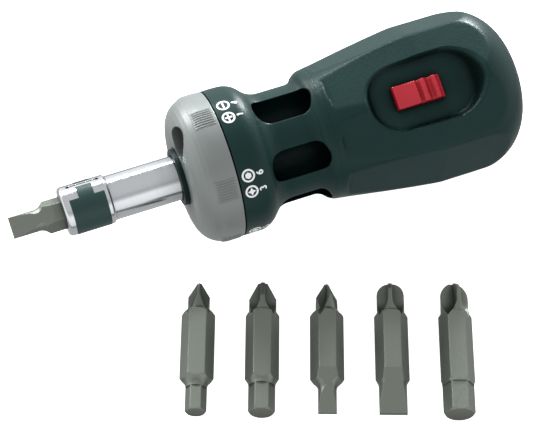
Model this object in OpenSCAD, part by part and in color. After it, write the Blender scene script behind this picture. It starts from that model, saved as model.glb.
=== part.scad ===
// Stubby ratcheting screwdriver with six double-ended bits.
// The axis runs along X, blade toward -X and butt toward +X. The driver lies on one
// flat of its eight-sided grip, on z = 0, and five of its bits lie in a row beside it.
// The origin is the middle of the flat that it lies on.

/* [Grip] */
// Largest radius of the grip, over its rounded edges
grip_r = 18.5; // [18.2:0.1:19]
// Distance from the axis to each of the eight flats
grip_flat_r = 17.2; // [16.8:0.1:17.5]
// Length of the grip from its shoulder to the butt
grip_l = 45.5; // [44:0.1:56]
// Radius of the grip's front shoulder
shoulder_r = 14.9; // [14.8:0.05:15.4]
// Slope of the grip's front taper
taper_angle = 10; // [8:0.5:12]
// Radius that blends the taper into the widest part
taper_blend_r = 30; // [20:1:40]
// Distance from the axis to each flat's front end, just outside the shoulder
flat_front_r = 15.2; // [15.1:0.1:15.8]
// Radius of the butt's round edge
butt_round_r = 12.5; // [9:0.5:14]

/* [Magazine] */
// Wall outside the channels in the collar, which the turning cap follows
collar_wall = 2.15; // [1.7:0.05:2.6]
// Length of the collar's straight band
collar_l = 3.7; // [3:0.1:6]
// Radius of the waist
neck_r = 12.65; // [12.2:0.05:13]
// Length of the straight part of the waist
waist_l = 6.15; // [3:0.05:8]
// Steepest slope of the curves at both ends of the waist
neck_slope = 50; // [40:1:60]
// Number of bit channels
channel_count = 6; // [4:1:6]
// Radius of the circle that the channels stand on
channel_circle_r = 10.55; // [10.5:0.05:10.7]
// Depth of each channel behind the collar's front face
channel_l = 33; // [32:0.5:36]

/* [Cap] */
// Length of the turning cap
cap_l = 9.1; // [8.5:0.1:12]
// Radius of the cap's round front edge
cap_round_r = 6; // [4:0.25:6.5]
// Direction of the exit hole, from the switch toward the far side
exit_angle = 30; // [30:60:330]

/* [Shaft] */
// Diameter of the drive shaft
shaft_d = 10; // [9.8:0.05:10.1]
// Reach of the shaft in front of the cap
shaft_reach = 27; // [24:0.5:40]
// Depth of the bit socket
socket_l = 19.4; // [16:0.1:22]
// Diameter of the shaft's nose
nose_d = 11; // [10.8:0.1:12]
// Length of the shaft's nose
nose_l = 10.6; // [10:0.1:12]
// Length of the clip set into the nose
clip_l = 7.8; // [6:0.1:8]

/* [Bits] */
// Width across the flats of a bit's hexagon
hex_af = 6.35; // [6.3:0.05:6.4]
// Length of a bit
bit_l = 31; // [30:0.5:32.5]
// Length of the hexagonal part of a bit
bit_hex_l = 15.2; // [13:0.1:17]
// Distance between the loose bits
row_pitch = 13.95; // [10:0.05:20]
// Turn of the row of loose bits about the vertical
row_turn = -20.7; // [-40:0.1:0]
// Place of the first loose bit along the driver
row_x = -71.5; // [-90:0.1:-50]
// Place of the first loose bit to the driver's side
row_y = -33.9; // [-60:0.1:-33]

/* [Selector] */
// Length of the switch's thumb pad
switch_l = 11; // [9:0.25:12]
// Width of the switch's thumb pad
switch_w = 5.2; // [4.5:0.1:6]
// Height of the thumb pad over the recess floor
switch_h = 2.1; // [1.8:0.05:3]
// Travel of the switch to each side of its middle place
switch_travel = 2; // [1.6:0.1:2.2]
// Length of the oval recess at its floor
recess_l = 23; // [21:0.5:25]
// Width of the oval recess at its floor
recess_w = 14; // [12:0.5:15]
// Corner radius of the recess at its floor
recess_corner_r = 6; // [4:0.5:6]
// Distance from the axis to the recess floor
recess_floor_r = 13.5; // [13.3:0.1:14]

/* [Ratchet] */
// Number of gear teeth
tooth_count = 24; // [24:12:24]
// Radius of the gear over its teeth
gear_tip_r = 6.6; // [6.5:0.05:6.7]
// Radius of the gear between its teeth
gear_root_r = 5.3; // [5.2:0.05:5.4]
// Width of the gear
gear_w = 6.4; // [5.6:0.1:7]
// Radius of the ratchet housing
housing_r = 11; // [10.6:0.1:11.4]
// Thickness of the housing's cover plate
cover_t = 2.2; // [2:0.1:3]

/* [Fits] */
// Clearance of a shaft or pin in its hole
run_fit = 0.1; // [0.05:0.01:0.12]
// Clearance between pieces that slide past each other
slide_gap = 0.3; // [0.2:0.05:0.4]
// Clearance of a piece that is set in its seat
seat_fit = 0.05; // [0.02:0.01:0.1]

/* [Hidden] */

// Smoothness of turned shapes, of small ones and of arcs in an outline
turn_fn = 96;
small_fn = 40;
arc_steps = 8;
// Length by which every cut runs past the face that it opens
overrun = 1;
// Number of flats on the grip, and the roll that lays one of them on the floor
flat_count = 8;
rest_roll = 180 / flat_count;

// Colours
black = [0.15, 0.20, 0.19];
grey = [0.62, 0.64, 0.63];
chrome = [0.85, 0.86, 0.88];
steel = [0.55, 0.56, 0.56];
bit_steel = [0.47, 0.50, 0.48];
bronze = [0.72, 0.53, 0.28];
zinc = [0.66, 0.67, 0.69];
red = [0.78, 0.14, 0.20];

// Hexagon over its corners, and the round channel that it slides in
hex_ac = hex_af / cos(30);
channel_clearance = 0.27;
channel_d = hex_ac + channel_clearance;
shaft_r = shaft_d / 2;

// Stations along the axis, from the collar's front face
function curve_r(rise) = rise / (2 * (1 - cos(neck_slope)));
function curve_l(rise) = 2 * curve_r(rise) * sin(neck_slope);
collar_r = channel_circle_r + channel_d / 2 + collar_wall;
collar_drop = collar_r - neck_r;
shoulder_rise = shoulder_r - neck_r;
waist_x = collar_l + curve_l(collar_drop);
waist_end_x = waist_x + waist_l;
shoulder_x = waist_end_x + curve_l(shoulder_rise);
butt_x = shoulder_x + grip_l;
taper_drop = grip_r - shoulder_r - taper_blend_r * (1 - cos(taper_angle));
widest_x = shoulder_x + taper_drop / tan(taper_angle) + taper_blend_r * sin(taper_angle);
flat_end_x = butt_x - butt_round_r
    + sqrt(pow(butt_round_r, 2) - pow(butt_round_r - grip_r + grip_flat_r, 2));
rest_x = (widest_x + flat_end_x) / 2;
cap_gap = slide_gap;
cap_front_x = -cap_gap - cap_l;
nose_x = cap_front_x - shaft_reach;

// The magazine's tail in the grip
tail_wall = 1.4;
tail_r = 13.2;
tail_end_x = channel_l + tail_wall;

// The spigot that the cap turns on, and its ring
spigot_wall = 0.75;
spigot_r = shaft_r + run_fit + spigot_wall;
ring_t = 1.4;
ring_inset = 0.35;
ring_lip = 0.5;
ring_stand = 1.1;
ring_r = spigot_r + ring_lip;
ring_back_x = cap_front_x + ring_t - ring_stand;
spigot_end_x = cap_front_x - ring_stand;

// The cap's detent
ball_r = 1;
ball_proud = 0.45;
detent_groove_depth = 0.35;
detent_dimple_depth = 0.7;
detent_spring_l = 4;
// Width of a detent dimple as a share of its ball
dimple_share = 0.85;

// The shaft's inner end
gear_seat_r = 4;
journal_r = 3;
bush_wall = 0.7;
front_bush_l = 8;
front_bush_x = 1.5;
magnet_t = 4;
nose_r = nose_d / 2;
nose_round_r = 0.9;
nose_back = 0.4;
clip_front = 1.7;
clip_depth = 0.9;
clip_proud = 0.05;
clip_turn = 53;
clip_gap_angle = 82;
tab_gap_angle = 18;
tab_l = 3.4;
slit_l = 6.6;
slit_w = 0.3;
slit_hole_r = 0.42;
slit_depth = 0.6;
// Turn of the socket that brings a flat of the hexagon under the switch's side
socket_turn = 90;

// The ratchet, behind the tail
cover_x = tail_end_x + slide_gap;
housing_x = cover_x + cover_t;
washer_t = 0.7;
gear_x = housing_x + washer_t + 2 * run_fit;
gear_end_x = gear_x + gear_w;
chamber_end_x = gear_end_x + washer_t + 2 * run_fit;
rear_bush_l = 4;
bush_seat_wall = 1;
journal_end_x = chamber_end_x + rear_bush_l + overrun;
circlip_room = 2.4;
housing_end_x = journal_end_x + circlip_room;
circlip_t = 0.7;
circlip_proud = 1.2;
circlip_r = journal_r + circlip_proud;
washer_r = 6.2;
housing_flat_r = 9.5;
screw_r = 1;
screw_head_r = 1.7;
screw_head_t = 1.1;
screw_l = 9;
screw_circle_r = 9;
screw_angles = [110, 180, 250];

// The rocker pawl
pawl_pivot_r = 8.25;
pawl_pin_r = 0.75;
pawl_boss_r = 1.3;
pawl_l = 4.8;
pawl_inner_r = 7.5;
pawl_outer_r = 9;
pawl_mid_r = (pawl_inner_r + pawl_outer_r) / 2;
pawl_span = 46;
pawl_rock = 7;
tooth_nose_turn = 37.5;
tooth_nose_r = 6;
tooth_nose_tip_w = 0.24;
tooth_nose_root_w = 1.5;
peg_r = 0.8;
pawl_pin_overlap = 1.2;
pawl_x = gear_x + (gear_w - pawl_l) / 2;
pawl_mid_x = pawl_x + pawl_l / 2;
chamber_w = 14.4;
chamber_floor_r = 3.4;

// The switch under the recess
switch_back = 2.5;
recess_back = 1;
switch_x = pawl_mid_x + switch_back;
recess_x = switch_x + recess_back;
foot_bottom_r = housing_flat_r + slide_gap;
foot_t = 2;
foot_top_r = foot_bottom_r + foot_t;
foot_wall = 0.9;
foot_w = 8.4;
foot_room_r = foot_top_r + slide_gap;
stem_l = 2.4;
stem_w = 2.6;
stem_set = 0.6;
pad_bottom_r = recess_floor_r + slide_gap / 2;
switch_top_r = pad_bottom_r + switch_h;
spring_t = 0.35;
peg_fit = 2 * run_fit;
spring_l = 2 * (switch_travel + peg_r + peg_fit + spring_t);
slot_depth = 1.2;
peg_top_r = foot_bottom_r + slot_depth - slide_gap;
peg_lever = foot_bottom_r + slot_depth / 2 - pawl_pivot_r;
cam_angle = atan(peg_lever * tan(pawl_rock) / switch_travel);
select_ball_r = 0.8;
select_ball_rise = 0.3;
select_ball_proud = select_ball_rise + slide_gap;
select_groove_depth = 0.45;
select_notch_depth = 0.7;
select_spring_l = 3;
select_wall = 1;
select_x = housing_end_x - select_wall - select_ball_r;
foot_x = pawl_mid_x - spring_l / 2 - foot_wall;
foot_l = select_x + switch_travel + select_ball_r + foot_wall - foot_x;
rib_count = 2;
rib_share = 0.24;
valley_r = 0.55;
dish_r = 9;
dish_depth = 0.35;
recess_flare = 2.9;
skin = 0.1;

// Bits: points, blades, keys and the hollow necks behind them
// Flutes of a small and of a large cross point: depth left over the axis, half the angle of the
// groove, its straight length and the radius of the wheel that it runs out with
fine_flute = [0.3, 51, 0.4, 13];
broad_flute = [0.72, 46, 4.4, 4.6];
flute_h = 3.6;
broad_from_d = 5.5;
neck_hollow_r = 2.4;
blade_t_share = 0.17;
blade_start = 1.6;
key_chamfer_share = 0.86;
end_overlap = 0.5;

// An arc of an outline, from one angle to another
function arc(centre, r, from, to) =
    [for (i = [0:arc_steps]) let (a = from + (to - from) * i / arc_steps)
        centre + r * [cos(a), sin(a)]];

// A solid turned about X from an outline of [x, radius] points
module turned(points, fn = turn_fn)
    rotate([0, 90, 0]) rotate_extrude($fn = fn) polygon([for (p = points) [p[1], p[0]]]);

// A round bar along X
module bar(r, from, to, fn = turn_fn)
    translate([from, 0, 0]) rotate([0, 90, 0]) cylinder(r = r, h = to - from, $fn = fn);

// A tube along X
module tube(outer, inner, from, to)
    difference() {
        bar(outer, from, to);
        bar(inner, from - overrun, to + overrun);
    }

// Turns its children about the axis, from the switch toward the far side
module around(angle) rotate([-angle, 0, 0]) children();

// Lays the driver on its flat
module lay()
    translate([-rest_x, 0, grip_flat_r]) rotate([rest_roll, 0, 0]) children();

// The round space of one bit in the magazine, or of all of them
module channel(from, to) translate([0, 0, channel_circle_r]) bar(channel_d / 2, from, to, small_fn);

module channels(from, to)
    for (i = [0:channel_count - 1])
        around(exit_angle + i * 360 / channel_count) channel(from, to);

// Moulded grip with its flats, the switch recess and the seats inside
grip_outline = concat(
    [[shoulder_x, 0], [shoulder_x, shoulder_r]],
    arc([widest_x, grip_r - taper_blend_r], taper_blend_r, 90 + taper_angle, 90),
    arc([butt_x - butt_round_r, grip_r - butt_round_r], butt_round_r, 90, 0),
    [[butt_x, 0]]);

module grip_flat()
    rotate([90, 0, 0]) translate([0, 0, -grip_r]) linear_extrude(2 * grip_r)
        polygon([[shoulder_x, flat_front_r], [widest_x, grip_flat_r], [butt_x + overrun, grip_flat_r],
            [butt_x + overrun, grip_r + overrun], [shoulder_x, grip_r + overrun]]);

module recess_corners(height, spread)
    for (x = [-1, 1], y = [-1, 1])
        translate([recess_x + x * (recess_l / 2 - recess_corner_r), y * (recess_w / 2 - recess_corner_r), height])
            cylinder(r = recess_corner_r + spread, h = skin, $fn = small_fn);

module recess()
    hull() {
        recess_corners(recess_floor_r, 0);
        recess_corners(grip_r + overrun, recess_flare);
    }

module switch_slot()
    translate([switch_x - stem_l / 2 - switch_travel - slide_gap, -stem_w / 2 - slide_gap, housing_flat_r])
        cube([stem_l + 2 * (switch_travel + slide_gap), stem_w + 2 * slide_gap, grip_r]);

module foot_room()
    translate([foot_x - switch_travel - slide_gap, -foot_w / 2 - slide_gap, housing_flat_r])
        cube([foot_l + 2 * (switch_travel + slide_gap), foot_w + 2 * slide_gap, foot_room_r - housing_flat_r]);

module grip_shell()
    color(black) lay() difference() {
        turned(grip_outline);
        for (i = [0:flat_count - 1]) around((i + 1 / 2) * 360 / flat_count) grip_flat();
        bar(tail_r + seat_fit, shoulder_x - overrun, tail_end_x + slide_gap);
        channels(shoulder_x - overrun, channel_l);
        bar(housing_r + seat_fit, tail_end_x, housing_end_x + slide_gap);
        foot_room();
        switch_slot();
        recess();
    }

// Collar, waist and tail in one moulding, with the bit channels and the cap's spigot
magazine_outline = concat(
    [[0, 0], [0, collar_r]],
    arc([collar_l, collar_r - curve_r(collar_drop)], curve_r(collar_drop), 90, 90 - neck_slope),
    arc([waist_x, neck_r + curve_r(collar_drop)], curve_r(collar_drop), 270 - neck_slope, 270),
    arc([waist_end_x, neck_r + curve_r(shoulder_rise)], curve_r(shoulder_rise), 270, 270 + neck_slope),
    arc([shoulder_x, shoulder_r - curve_r(shoulder_rise)], curve_r(shoulder_rise), 90 + neck_slope, 90),
    [[shoulder_x, tail_r], [tail_end_x, tail_r], [tail_end_x, 0]]);

module magazine_body()
    color(black) lay() difference() {
        union() {
            turned(magazine_outline);
            bar(spigot_r, spigot_end_x, collar_l);
        }
        channels(-overrun, channel_l);
        bar(shaft_r + run_fit, spigot_end_x - overrun, tail_end_x + overrun);
        bar(shaft_r + bush_wall + seat_fit, front_bush_x, front_bush_x + front_bush_l);
        tube(spigot_r + overrun, spigot_r - ring_inset, ring_back_x - ring_t, ring_back_x);
        translate([0, 0, channel_circle_r])
            bar(ball_r + seat_fit, -overrun, ball_r + detent_spring_l, small_fn);
    }

// Turning cap with one exit hole and a detent groove in its back
cap_outline = concat(
    [[cap_front_x, 0]],
    arc([cap_front_x + cap_round_r, collar_r - cap_round_r], cap_round_r, 180, 90),
    [[-cap_gap, collar_r], [-cap_gap, 0]]);

module dispensing_cap()
    color(grey) lay() difference() {
        turned(cap_outline);
        bar(spigot_r + run_fit, cap_front_x - overrun, overrun);
        bar(ring_r + run_fit, cap_front_x - overrun, ring_back_x + slide_gap / 2);
        around(exit_angle) channel(cap_front_x - overrun, overrun);
        tube(channel_circle_r + ball_r, channel_circle_r - ball_r,
            -cap_gap - detent_groove_depth, overrun);
        for (i = [0:channel_count - 1])
            around(i * 360 / channel_count) translate([0, 0, channel_circle_r])
                bar(ball_r * dimple_share, -cap_gap - detent_dimple_depth, overrun, small_fn);
    }

// Ring in the spigot's groove that keeps the cap on
module cap_retaining_ring()
    color(black) lay() tube(ring_r, spigot_r - ring_inset, ring_back_x - ring_t, ring_back_x);

module cap_detent_ball()
    color(steel) lay() translate([ball_r - ball_proud, 0, channel_circle_r]) sphere(ball_r, $fn = small_fn);

module cap_detent_spring()
    color(steel) lay() translate([0, 0, channel_circle_r])
        bar(ball_r, 2 * ball_r - ball_proud, ball_r + detent_spring_l, small_fn);

// Shaft with a thicker nose, the hexagonal bit socket and the seats of the clip, gear and bushes
module hex_bar(af, from, to)
    translate([from, 0, 0]) rotate([0, 90, 0]) cylinder(d = af / cos(30), h = to - from, $fn = 6);

nose_outline = concat(
    [[nose_x, 0]],
    arc([nose_x + nose_round_r, nose_r - nose_round_r], nose_round_r, 180, 90),
    [[nose_x + nose_l - nose_back, nose_r], [nose_x + nose_l, nose_r - nose_back], [nose_x + nose_l, 0]]);

// Sector of a round bar about a direction from the switch
module sector(r, from, to, middle, span)
    around(middle - 180 + span / 2) translate([from, 0, 0]) rotate([0, 90, 0])
        rotate_extrude(angle = span, $fn = turn_fn) square([r, to - from]);

clip_x = nose_x + clip_front;

// Open ring with a tab at each end, between the given radii
module clip_form(outer, inner) {
    difference() {
        tube(outer, inner, clip_x, clip_x + clip_l);
        sector(outer + overrun, clip_x - overrun, clip_x + clip_l + overrun, clip_turn, clip_gap_angle);
    }
    difference() {
        tube(outer, inner, clip_x + (clip_l - tab_l) / 2, clip_x + (clip_l + tab_l) / 2);
        sector(outer + overrun, clip_x - overrun, clip_x + clip_l + overrun, clip_turn, tab_gap_angle);
    }
}

// Narrow slit with round ends along the nose, between the clip's tabs
module nose_slit()
    around(clip_turn) translate([clip_x + clip_l / 2, 0, nose_r - slit_depth]) {
        translate([-slit_l / 2, -slit_w / 2, 0]) cube([slit_l, slit_w, nose_r]);
        for (side = [-1, 1]) translate([side * slit_l / 2, 0, 0]) cylinder(r = slit_hole_r, h = nose_r, $fn = small_fn);
    }

module shaft()
    color(chrome) lay() difference() {
        union() {
            turned(nose_outline);
            bar(shaft_r, nose_x + nose_l - overrun, housing_x);
            bar(gear_seat_r, housing_x, chamber_end_x);
            bar(journal_r, chamber_end_x, housing_end_x - slide_gap);
        }
        around(socket_turn) hex_bar(hex_af + 2 * run_fit, nose_x - overrun, nose_x + socket_l);
        bar(hex_af / 2, nose_x + socket_l - overrun, nose_x + socket_l + magnet_t);
        clip_form(nose_r + overrun, nose_r - clip_depth);
        nose_slit();
        tube(journal_r + overrun, journal_r - circlip_t, journal_end_x, journal_end_x + circlip_t);
    }

// Clip set into the nose
module bit_clip()
    color(black) lay() clip_form(nose_r + clip_proud, nose_r - clip_depth);

module bit_magnet()
    color(steel) lay() bar(hex_af / 2 - seat_fit, nose_x + socket_l + run_fit, nose_x + socket_l + magnet_t);

// Bushes that carry the shaft
module front_bush()
    color(bronze) lay() tube(shaft_r + bush_wall, shaft_r + run_fit,
        front_bush_x, front_bush_x + front_bush_l);

module rear_bush()
    color(bronze) lay() tube(journal_r + bush_seat_wall, journal_r + run_fit,
        chamber_end_x, chamber_end_x + rear_bush_l);

// Housing of the ratchet: gear chamber, pawl chamber and bush seat
module pawl_chamber()
    translate([housing_x - overrun, -chamber_w / 2, chamber_floor_r])
        cube([chamber_end_x - housing_x + overrun, chamber_w, housing_r]);

module ratchet_housing()
    color(zinc) lay() difference() {
        bar(housing_r, housing_x, housing_end_x);
        bar(gear_tip_r + slide_gap, housing_x - overrun, chamber_end_x);
        pawl_chamber();
        bar(journal_r + bush_seat_wall, chamber_end_x - overrun, chamber_end_x + rear_bush_l);
        bar(circlip_r + slide_gap, chamber_end_x + rear_bush_l - overrun, housing_end_x + overrun);
        translate([housing_x - overrun, -housing_r, housing_flat_r])
            cube([housing_end_x - housing_x + 2 * overrun, 2 * housing_r, housing_r]);
        translate([0, 0, pawl_pivot_r])
            bar(pawl_pin_r + seat_fit, chamber_end_x - overrun, chamber_end_x + pawl_pin_overlap, small_fn);
        for (a = screw_angles) around(a) translate([0, 0, screw_circle_r])
            bar(screw_r + seat_fit, housing_x - overrun, cover_x + screw_l, small_fn);
        translate([select_x, 0, housing_flat_r - select_spring_l - select_ball_r])
            cylinder(r = select_ball_r + seat_fit, h = housing_r, $fn = small_fn);
    }

module housing_cover()
    color(zinc) lay() difference() {
        bar(housing_r, cover_x, housing_x);
        bar(shaft_r + run_fit, cover_x - overrun, housing_x + overrun);
        translate([cover_x - overrun, -housing_r, housing_flat_r])
            cube([cover_t + 2 * overrun, 2 * housing_r, housing_r]);
        translate([0, 0, pawl_pivot_r])
            bar(pawl_pin_r + seat_fit, housing_x - pawl_pin_overlap, housing_x + overrun, small_fn);
        for (a = screw_angles) around(a) translate([0, 0, screw_circle_r]) {
            bar(screw_r + seat_fit, cover_x - overrun, housing_x + overrun, small_fn);
            bar(screw_head_r + seat_fit, cover_x - overrun, cover_x + screw_head_t, small_fn);
        }
    }

module cover_screws()
    color(steel) lay() for (a = screw_angles) around(a) translate([0, 0, screw_circle_r]) {
        bar(screw_head_r, cover_x, cover_x + screw_head_t, small_fn);
        bar(screw_r, cover_x, cover_x + screw_l, small_fn);
    }

// Ratchet gear with straight-sided teeth
root_share = 0.3;
tip_share = 0.1;
pitch = 360 / tooth_count;
function polar(r, a) = r * [sin(a), cos(a)];

module tooth_outline()
    polygon([for (i = [0:tooth_count - 1], c = [[gear_root_r, -root_share], [gear_tip_r, -tip_share],
        [gear_tip_r, tip_share], [gear_root_r, root_share]]) polar(c[0], (i + c[1]) * pitch)]);

module ratchet_gear()
    color(steel) lay() difference() {
        translate([gear_x, 0, 0]) rotate([90, 0, 90]) linear_extrude(gear_w) tooth_outline();
        bar(gear_seat_r, gear_x - overrun, gear_end_x + overrun);
    }

module front_thrust_washer()
    color(bronze) lay() tube(washer_r, gear_seat_r + seat_fit, gear_x - washer_t - run_fit, gear_x - run_fit);

module rear_thrust_washer()
    color(bronze) lay() tube(washer_r, gear_seat_r + seat_fit,
        gear_end_x + run_fit, gear_end_x + run_fit + washer_t);

// Open ring that keeps the shaft in its rear bush
module shaft_circlip()
    color(steel) lay() difference() {
        tube(circlip_r, journal_r - circlip_t, journal_end_x, journal_end_x + circlip_t);
        translate([journal_end_x - overrun, -journal_r / 2, 0])
            cube([circlip_t + 2 * overrun, journal_r, circlip_r]);
    }

// Rocker pawl: an arch on its pin, with a nose at each end and a peg on its back
module arch_outline()
    polygon(concat(
        [for (i = [-arc_steps:arc_steps]) polar(pawl_outer_r, pawl_span * i / arc_steps)],
        [for (i = [arc_steps:-1:-arc_steps]) polar(pawl_inner_r, pawl_span * i / arc_steps)]));

module tooth_nose_outline()
    polygon([[-tooth_nose_tip_w / 2, tooth_nose_r], [tooth_nose_tip_w / 2, tooth_nose_r],
        [tooth_nose_root_w / 2, pawl_inner_r], [tooth_nose_root_w / 2, pawl_mid_r],
        [-tooth_nose_root_w / 2, pawl_mid_r], [-tooth_nose_root_w / 2, pawl_inner_r]]);

module rocker_pawl()
    color(steel) lay() difference() {
        union() {
            translate([pawl_x, 0, 0]) rotate([90, 0, 90]) linear_extrude(pawl_l) {
                arch_outline();
                for (side = [-1, 1]) rotate(side * tooth_nose_turn) tooth_nose_outline();
                translate([0, pawl_pivot_r]) circle(pawl_boss_r, $fn = small_fn);
            }
            translate([pawl_mid_x, 0, pawl_pivot_r])
                cylinder(r = peg_r, h = peg_top_r - pawl_pivot_r, $fn = small_fn);
        }
        translate([0, 0, pawl_pivot_r])
            bar(pawl_pin_r + run_fit, pawl_x - overrun, pawl_x + pawl_l + overrun, small_fn);
    }

module pawl_pin()
    color(steel) lay() translate([0, 0, pawl_pivot_r])
        bar(pawl_pin_r, housing_x - pawl_pin_overlap, chamber_end_x + pawl_pin_overlap, small_fn);

// Thumb switch: dished pad with two ribs, on a stem through the recess floor
rib_l = switch_l * rib_share;

module pad_outline()
    difference() {
        translate([switch_x - switch_l / 2, pad_bottom_r]) square([switch_l, switch_top_r - pad_bottom_r]);
        translate([switch_x - switch_l / 2 + (switch_l - rib_count * rib_l) / 2, switch_top_r + dish_r - dish_depth])
            circle(dish_r, $fn = turn_fn);
        for (i = [0:rib_count - 1])
            translate([switch_x + switch_l / 2 - (i + 1) * rib_l, switch_top_r]) circle(valley_r, $fn = small_fn);
    }

module selector_switch()
    color(red) lay() {
        rotate([90, 0, 0]) linear_extrude(switch_w, center = true) pad_outline();
        translate([switch_x - stem_l / 2, -stem_w / 2, foot_top_r - stem_set])
            cube([stem_l, stem_w, pad_bottom_r - foot_top_r + 2 * stem_set]);
    }

// Carriage under the recess floor, with a slanted slot for the pawl's peg and three detent notches
module cam_slot(w)
    translate([pawl_mid_x, 0, foot_bottom_r]) rotate([0, 0, cam_angle])
        translate([-spring_l / 2, -w / 2, -overrun]) cube([spring_l, w, slot_depth + overrun]);

module selector_carriage()
    color(zinc) lay() difference() {
        translate([foot_x, -foot_w / 2, foot_bottom_r]) cube([foot_l, foot_w, foot_t]);
        translate([switch_x - stem_l / 2, -stem_w / 2, foot_top_r - stem_set]) cube([stem_l, stem_w, foot_t]);
        cam_slot(2 * (peg_r + peg_fit + spring_t + seat_fit));
        translate([select_x - switch_travel - select_ball_r, -select_ball_r, foot_bottom_r - overrun])
            cube([2 * (switch_travel + select_ball_r), 2 * select_ball_r, select_groove_depth + overrun]);
        for (i = [-1:1]) translate([select_x + i * switch_travel, 0, foot_bottom_r - overrun])
            cylinder(r = select_ball_r * dimple_share, h = select_notch_depth + overrun, $fn = small_fn);
    }

// Hairpin spring whose two legs hold the pawl's peg
module pawl_spring()
    color(steel) lay() translate([pawl_mid_x, 0, foot_bottom_r + seat_fit]) rotate([0, 0, cam_angle])
        difference() {
            translate([-spring_l / 2 + seat_fit, -peg_r - peg_fit - spring_t, 0])
                cube([spring_l - 2 * seat_fit, 2 * (peg_r + peg_fit + spring_t), slot_depth - 2 * seat_fit]);
            translate([-spring_l / 2 + spring_t, -peg_r - peg_fit, -overrun])
                cube([spring_l, 2 * (peg_r + peg_fit), slot_depth + 2 * overrun]);
        }

module selector_detent_ball()
    color(steel) lay() translate([select_x, 0, housing_flat_r + select_ball_proud - select_ball_r])
        sphere(select_ball_r, $fn = small_fn);

module selector_detent_spring()
    color(steel) lay() translate([select_x, 0, housing_flat_r - select_spring_l - select_ball_r])
        cylinder(r = select_ball_r, h = select_spring_l + select_ball_proud - select_ball_r, $fn = small_fn);

// Double-ended bits along X, middle at zero, drawn with one end toward -X
end_l = (bit_l - bit_hex_l) / 2;
tip_x = -bit_l / 2;
root_x = -bit_hex_l / 2;

// Where the hexagon's chamfer reaches radius r, and where a hollow neck ends on radius r
function chamfer_x(r) = root_x - hex_ac / 2 + r;
function hollow_top(r) = r + neck_hollow_r * (1 - cos(45));
function key_x(r) = chamfer_x(hollow_top(r)) - neck_hollow_r * sin(45);

// One half of the hexagon, chamfered down along an outline that starts at radius r
module half_hexagon(r, outline)
    intersection() {
        hex_bar(hex_af, tip_x, 0);
        turned(concat([[0, 0], [0, r - chamfer_x(r)]], outline), small_fn);
    }

// Half hexagon with a hollow neck down to radius r
module necked_hexagon(r)
    half_hexagon(hollow_top(r), concat(
        arc([key_x(r), r + neck_hollow_r], neck_hollow_r, 315, 270), [[key_x(r), 0]]));

// Ground flute of a cross point: a V groove that runs out along the wheel's edge
module flute(form) {
    half_w = flute_h * tan(form[1]);
    translate([tip_x, 0, form[0]]) {
        translate([-overrun, 0, 0]) rotate([90, 0, 90]) linear_extrude(form[2] + overrun)
            polygon([[0, 0], [half_w, flute_h], [-half_w, flute_h]]);
        translate([form[2], 0, form[3]]) rotate([90, 0, 0]) rotate_extrude($fn = turn_fn)
            polygon([[form[3], 0], [form[3] - flute_h, half_w], [form[3] - flute_h, -half_w]]);
    }
}

// Outline of a cross point from its tip to its full width: a cone, or an arc that ends along the axis
function point_outline(form) =
    let (rise = form[0] / 2 - form[1], half = 2 * atan(rise / form[2]), r = form[2] / sin(half))
    form[3] ? arc([tip_x + form[2], form[0] / 2 - r], r, 90 + half, 90)
        : [[tip_x, form[1]], [tip_x + form[2], form[0] / 2]];

module cross_half(form, turn) {
    d = form[0];
    difference() {
        union() {
            half_hexagon(d / 2, [[chamfer_x(d / 2), d / 2], [chamfer_x(d / 2), 0]]);
            turned(concat([[tip_x, 0]], point_outline(form),
                [[root_x + end_overlap, d / 2], [root_x + end_overlap, 0]]), small_fn);
        }
        for (i = [0:3]) rotate([turn + i * 90, 0, 0]) flute(d < broad_from_d ? fine_flute : broad_flute);
    }
}

// Flat blade, ground from two of the hexagon's flats
module blade_cut(w)
    linear_extrude(2 * hex_ac, center = true)
        polygon([[root_x + blade_start, hex_af / 2], [tip_x, w * blade_t_share / 2],
            [tip_x - overrun, w * blade_t_share / 2], [tip_x - overrun, hex_ac], [root_x + blade_start, hex_ac]]);

module slot_half(w)
    difference() {
        union() {
            necked_hexagon(w / 2);
            bar(w / 2, tip_x, key_x(w / 2) + end_overlap, small_fn);
        }
        for (side = [0, 180]) rotate([side, 0, 0]) blade_cut(w);
    }

// Hexagon key with a chamfered end
module key_half(af)
    union() {
        necked_hexagon(af / cos(30) / 2);
        intersection() {
            hex_bar(af, tip_x, key_x(af / cos(30) / 2) + end_overlap);
            turned([[tip_x, 0], [tip_x, af / cos(30) / 2 * key_chamfer_share],
                [tip_x + af / cos(30) / 2 * (1 - key_chamfer_share), af / cos(30) / 2],
                [0, af / cos(30) / 2], [0, 0]], small_fn);
        }
    }

module bit_half(kind, size, turn)
    if (kind == "cross") cross_half(size, turn);
    else if (kind == "slot") slot_half(size);
    else key_half(size);

module bit(kind_a, size_a, kind_b, size_b, turn)
    color(bit_steel) {
        bit_half(kind_a, size_a, turn);
        mirror([1, 0, 0]) bit_half(kind_b, size_b, turn);
    }

// Cross points: size over the wings, radius of the tip, length of the point, and whether it bulges
cross_1 = [4.8, 0.5, 3.5, false];
cross_2 = [6, 1.1, 4, false];
cross_2_short = [6, 1, 2.7, true];
cross_3 = [6.2, 1.3, 3.1, true];
// Sizes across the blades and across the keys' flats
slot_4_w = 4;
slot_5_w = 4.8;
slot_6_w = 6;
hex_4_af = 4;
hex_5_af = 5;
hex_6_af = 5.9;

module drive_bit()
    lay() translate([nose_x + socket_l - bit_l / 2, 0, 0]) around(socket_turn)
        bit("slot", slot_5_w, "cross", cross_2, 0);

// A loose bit on the floor, first end pointing away
module in_row(i)
    translate([row_x, row_y, hex_af / 2]) rotate([0, 0, row_turn]) translate([i * row_pitch, 0, 0])
        rotate([0, 0, -90]) rotate([90, 0, 0]) children();

module bit_cross_1_hex_4() in_row(0) bit("cross", cross_1, "hex", hex_4_af, 45);

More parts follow.
